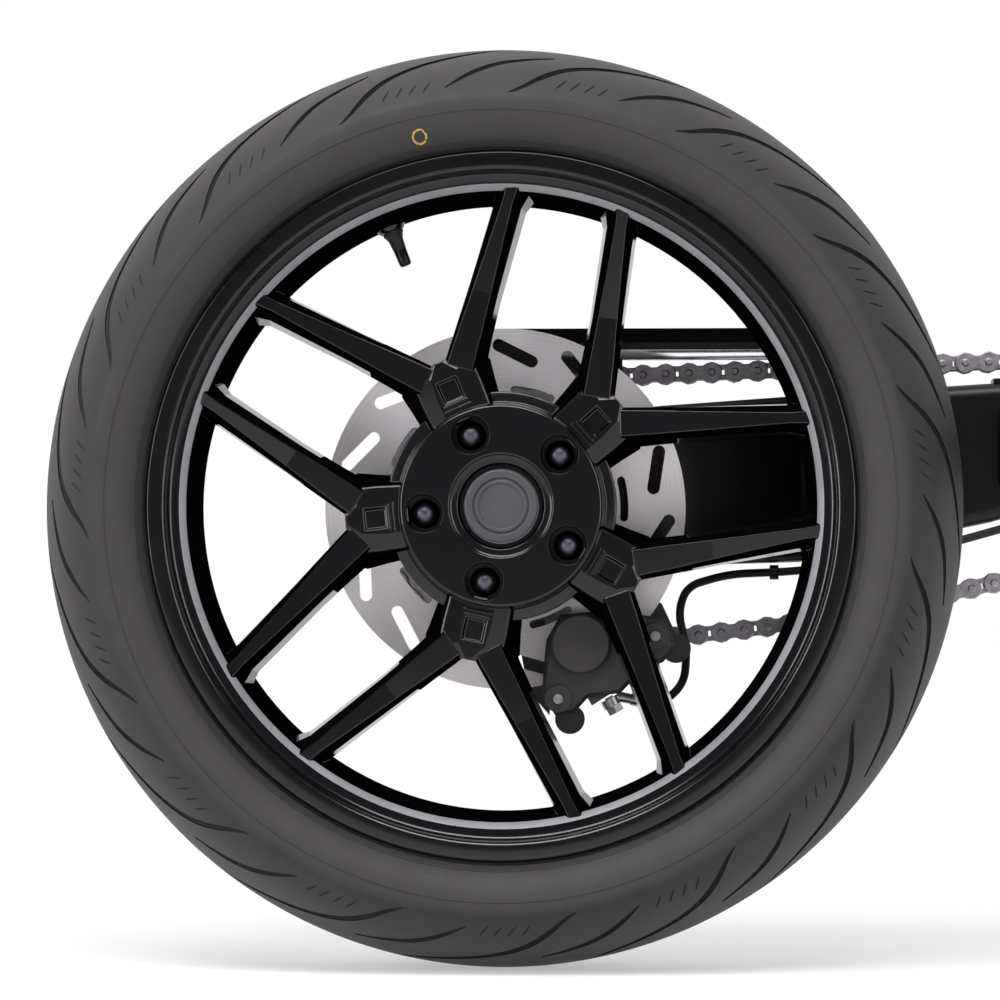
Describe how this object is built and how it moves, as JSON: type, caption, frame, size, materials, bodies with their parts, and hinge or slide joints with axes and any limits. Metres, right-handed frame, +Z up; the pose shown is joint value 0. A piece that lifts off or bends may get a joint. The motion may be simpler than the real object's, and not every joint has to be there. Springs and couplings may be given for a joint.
{
  "type": "motorcycle rear wheel on single-sided swingarm",
  "caption": "Motorcycle rear wheel with split-spoke casting and tyre, turning in a single-sided swingarm with disc brake and chain drive.",
  "frame": {"origin": "centre of the swingarm's pivot bore, on the wheel's centre plane", "axes": "+X forward, +Y to the rider's left along the pivot bore, +Z up"},
  "size_m": [0.9151, 0.2405, 0.608],
  "materials": {
    "arm_paint": "satin black",
    "wheel_paint": "gloss black",
    "tyre": "matt rubber",
    "steel": "zinc plated",
    "black_steel": "black oxide",
    "disc_steel": "ground bright",
    "chain_steel": "oiled steel",
    "alloy": "machined",
    "caliper_black": "matt charcoal",
    "pad_lining": "sintered lining on steel",
    "rubber": "matt black",
    "plastic": "moulded black"
  },
  "bodies": {
    "swingarm": {"swingarm": "arm_paint", "pivot_tube": "arm_paint", "cross_member": "arm_paint", "right_arm": "arm_paint", "shock_clevis": "arm_paint", "pivot_sleeve": "steel", "pivot_seals": "rubber", "eccentric_hub": "alloy", "pinch_bolts": "steel", "chain_slider": "plastic", "chain_guard": "plastic", "guard_bolts": "steel", "caliper_bracket": "caliper_black", "brake_caliper": "caliper_black", "brake_pads": "pad_lining", "slide_pins": "steel", "pin_boots": "rubber", "bleed_nipple": "steel", "banjo_fitting": "steel", "brake_hose": "rubber", "hose_clips": "plastic", "hose_end": "steel", "drive_chain": "chain_steel", "front_sprocket": "steel"},
    "wheel": {"tyre": "tyre", "cast_wheel": "wheel_paint", "valve_stem": "rubber", "valve_cap": "plastic", "wheel_bolts": "black_steel", "centre_cap": "plastic", "wheel_axle": "steel", "brake_disc": "disc_steel", "disc_bolts": "black_steel", "sprocket_carrier": "alloy", "rear_sprocket": "steel", "sprocket_nuts": "steel", "axle_nut": "steel"}
  },
  "joints": [
    {"name": "wheel_spin", "type": "hinge", "parent": "swingarm", "child": "wheel", "pos_m": [-0.5, 0, -0.06], "axis": [0, 1, 0], "continuous": true}
  ]
}
